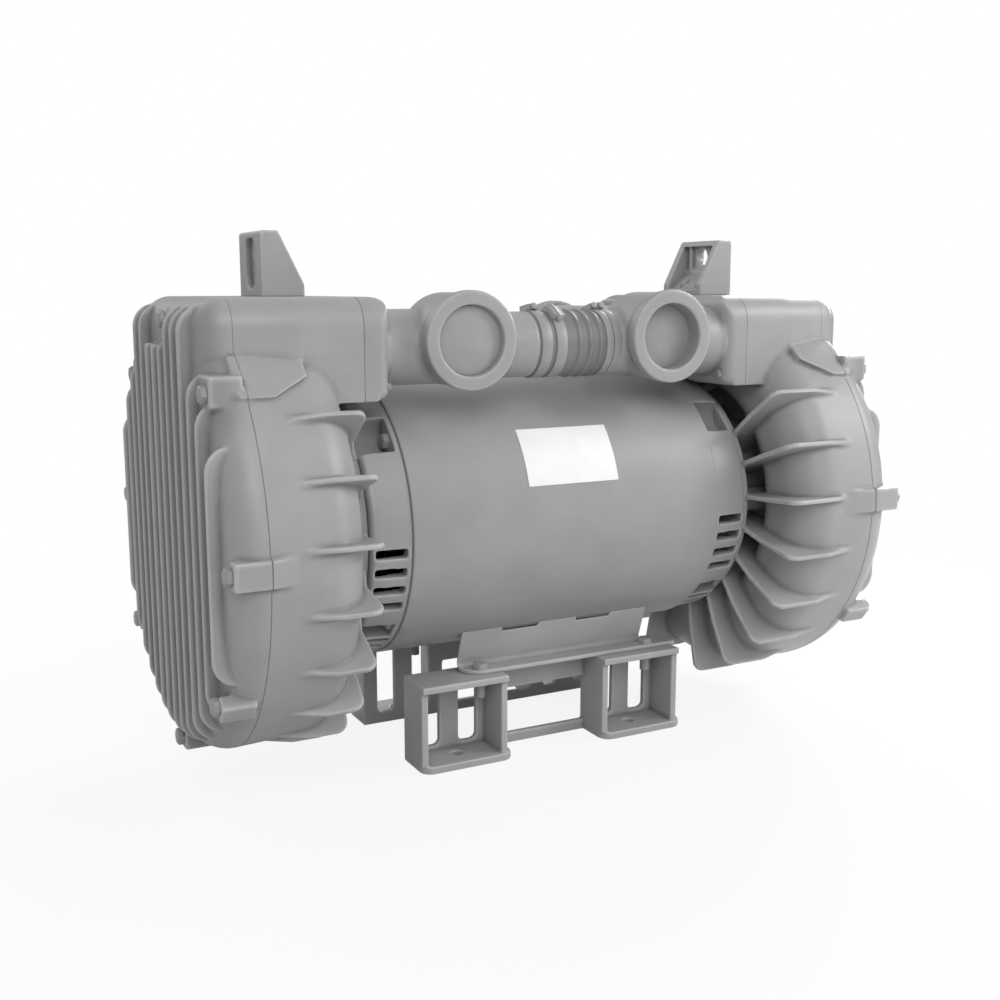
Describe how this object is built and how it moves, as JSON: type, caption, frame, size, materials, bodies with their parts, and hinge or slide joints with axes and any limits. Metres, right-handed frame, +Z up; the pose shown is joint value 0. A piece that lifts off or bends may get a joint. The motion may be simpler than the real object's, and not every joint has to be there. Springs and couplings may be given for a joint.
{
  "type": "regenerative blower",
  "caption": "Two-ended regenerative blower: ribbed channel casings on both ends of a foot-mounted electric motor, joined by a front air manifold.",
  "frame": {"origin": "on the floor, at the centre of the four base bolt holes, under the middle of the motor", "axes": "+X along the shaft to the blower at the right of the picture, +Y to the back, away from the front ports, +Z up"},
  "size_m": [0.8528, 0.4932, 0.6107],
  "materials": {
    "casting_paint": "satin grey paint on cast aluminium",
    "motor_paint": "satin grey paint on steel",
    "stand_paint": "satin grey paint on cast iron",
    "painted_fastener": "satin grey paint over steel",
    "plain_steel": "turned steel",
    "lamination": "stacked electrical steel",
    "winding": "varnished copper wire",
    "cage": "cast aluminium",
    "impeller_metal": "machined cast aluminium",
    "gasket_sheet": "gasket sheet",
    "seal_rubber": "moulded rubber",
    "hose_rubber": "painted rubber hose",
    "fan_plastic": "moulded plastic",
    "plate": "white printed aluminium"
  },
  "bodies": {
    "blower_frame": {"channel_housing_left": "casting_paint", "channel_housing_right": "casting_paint", "finned_cover_left": "casting_paint", "finned_cover_right": "casting_paint", "manifold_left": "casting_paint", "manifold_right": "casting_paint", "outlet_elbow_left": "casting_paint", "outlet_elbow_right": "casting_paint", "lifting_lug_left": "casting_paint", "lifting_lug_right": "casting_paint", "port_plug_left": "casting_paint", "port_plug_right": "casting_paint", "motor_shell": "motor_paint", "motor_foot_front": "motor_paint", "motor_foot_rear": "motor_paint", "end_bell_left": "motor_paint", "end_bell_right": "motor_paint", "terminal_box": "motor_paint", "terminal_box_cover": "motor_paint", "stand_front": "stand_paint", "stand_rear": "stand_paint", "foot_bolts": "painted_fastener", "foot_nuts": "painted_fastener", "bell_bolts": "painted_fastener", "cover_bolts_left": "painted_fastener", "cover_bolts_right": "painted_fastener", "manifold_bolts": "painted_fastener", "outlet_bolts": "painted_fastener", "lug_screws": "painted_fastener", "terminal_box_screws": "painted_fastener", "hose_clamps": "painted_fastener", "housing_screws": "plain_steel", "bearing_outer_race_left": "plain_steel", "bearing_outer_race_right": "plain_steel", "stator_core": "lamination", "stator_windings": "winding", "cover_gasket_left": "gasket_sheet", "cover_gasket_right": "gasket_sheet", "manifold_gaskets": "gasket_sheet", "outlet_gaskets": "gasket_sheet", "shaft_seal_left": "seal_rubber", "shaft_seal_right": "seal_rubber", "hose": "hose_rubber", "rating_plate": "plate"},
    "rotor": {"shaft": "plain_steel", "rotor_core": "lamination", "rotor_cage": "cage", "impeller_keys": "plain_steel", "impeller_nuts": "plain_steel", "impeller_washers": "plain_steel", "cooling_fan_left": "fan_plastic", "cooling_fan_right": "fan_plastic", "bearing_inner_race_left": "plain_steel", "bearing_inner_race_right": "plain_steel", "impeller_left": "impeller_metal", "impeller_right": "impeller_metal"},
    "balls_left": {"ball_set_left": "plain_steel"},
    "balls_right": {"ball_set_right": "plain_steel"}
  },
  "joints": [
    {"name": "rotor_spin", "type": "hinge", "parent": "blower_frame", "child": "rotor", "pos_m": [0, 0, 0.2835], "axis": [1, 0, 0], "continuous": true},
    {"name": "balls_left_roll", "type": "hinge", "parent": "blower_frame", "child": "balls_left", "pos_m": [-0.2265, 0, 0.2835], "axis": [1, 0, 0], "continuous": true},
    {"name": "balls_right_roll", "type": "hinge", "parent": "blower_frame", "child": "balls_right", "pos_m": [0.2265, 0, 0.2835], "axis": [1, 0, 0], "continuous": true}
  ],
  "couplings": [
    {"joint": "balls_left_roll", "follows": "rotor_spin", "ratio": 0.3875},
    {"joint": "balls_right_roll", "follows": "rotor_spin", "ratio": 0.3875}
  ]
}
